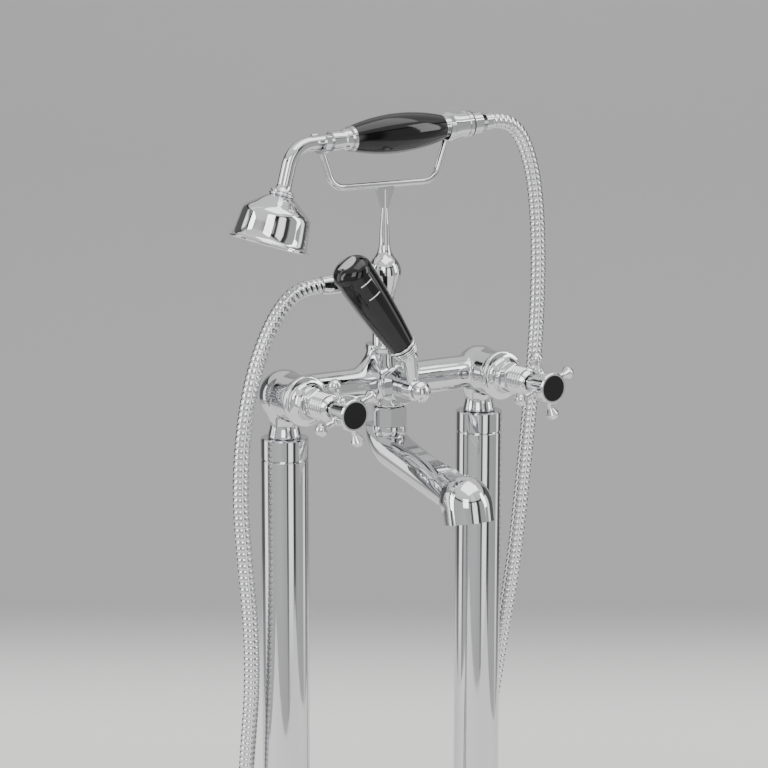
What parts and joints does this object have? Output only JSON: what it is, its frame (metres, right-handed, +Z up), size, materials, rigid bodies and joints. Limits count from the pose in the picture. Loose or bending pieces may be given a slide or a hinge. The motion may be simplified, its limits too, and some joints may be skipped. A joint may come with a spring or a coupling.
{
  "type": "floor standing bath filler",
  "caption": "Floor standing bath filler on two round legs, with crosshead valves, a lever diverter, a downturned spout and a hand shower that rests in a forked cradle.",
  "frame": {"origin": "on the floor midway between the two legs", "axes": "+Z up, -Y towards the bath (the side of the spout and the handles), +X from the hot leg to the cold leg"},
  "size_m": [0.2876, 0.1802, 0.9386],
  "materials": {
    "chrome": "polished",
    "black_ceramic": "glossy",
    "brass": "machined",
    "seal": "matt",
    "steel": "brushed"
  },
  "bodies": {
    "fixture": {"floor_flange_hot": "brass", "floor_rose_hot": "chrome", "supply_pipe_hot": "brass", "union_washer_hot": "seal", "union_nut_hot": "brass", "shroud_tube_hot": "chrome", "shroud_collar_hot": "chrome", "valve_cartridge_hot": "brass", "valve_cover_hot": "chrome", "valve_bonnet_hot": "chrome", "floor_flange_cold": "brass", "floor_rose_cold": "chrome", "supply_pipe_cold": "brass", "union_washer_cold": "seal", "union_nut_cold": "brass", "shroud_tube_cold": "chrome", "shroud_collar_cold": "chrome", "valve_cartridge_cold": "brass", "valve_cover_cold": "chrome", "valve_bonnet_cold": "chrome", "mixer_body": "chrome", "diverter_bonnet": "chrome", "spout": "chrome", "riser": "chrome", "cradle": "chrome", "hose_union": "chrome", "hose_lower_ferrule": "chrome", "hose": "chrome"},
    "hot_handle": {"valve_spindle_hot": "brass", "crosshead_hot": "chrome", "index_disc_hot": "black_ceramic", "handle_screw_hot": "steel"},
    "cold_handle": {"valve_spindle_cold": "brass", "crosshead_cold": "chrome", "index_disc_cold": "black_ceramic", "handle_screw_cold": "steel"},
    "diverter_lever": {"diverter_spindle": "brass", "lever_stalk": "chrome", "lever_grip": "black_ceramic", "lever_cap": "chrome", "diverter_finial": "chrome"},
    "handset": {"handset_grip": "black_ceramic", "handset_core": "brass", "handset_front_ferrule": "chrome", "handset_saddle": "chrome", "handset_tail_ferrule": "chrome", "hose_washer": "seal", "hose_upper_ferrule": "chrome", "handset_neck": "chrome", "rose_bell": "chrome", "spray_face": "chrome"}
  },
  "joints": [
    {"name": "hot_valve", "type": "hinge", "parent": "fixture", "child": "hot_handle", "pos_m": [-0.09, -0.0818, 0.735], "axis": [0, -1, 0], "range_deg": [0, 90]},
    {"name": "cold_valve", "type": "hinge", "parent": "fixture", "child": "cold_handle", "pos_m": [0.09, -0.0818, 0.735], "axis": [0, 1, 0], "range_deg": [0, 90]},
    {"name": "diverter", "type": "hinge", "parent": "fixture", "child": "diverter_lever", "pos_m": [0, -0.039, 0.735], "axis": [0, 1, 0], "range_deg": [0, 90]},
    {"name": "handset_lift", "type": "slide", "parent": "fixture", "child": "handset", "axis": [0, 0, 1], "range_m": [0, 0.25]}
  ]
}
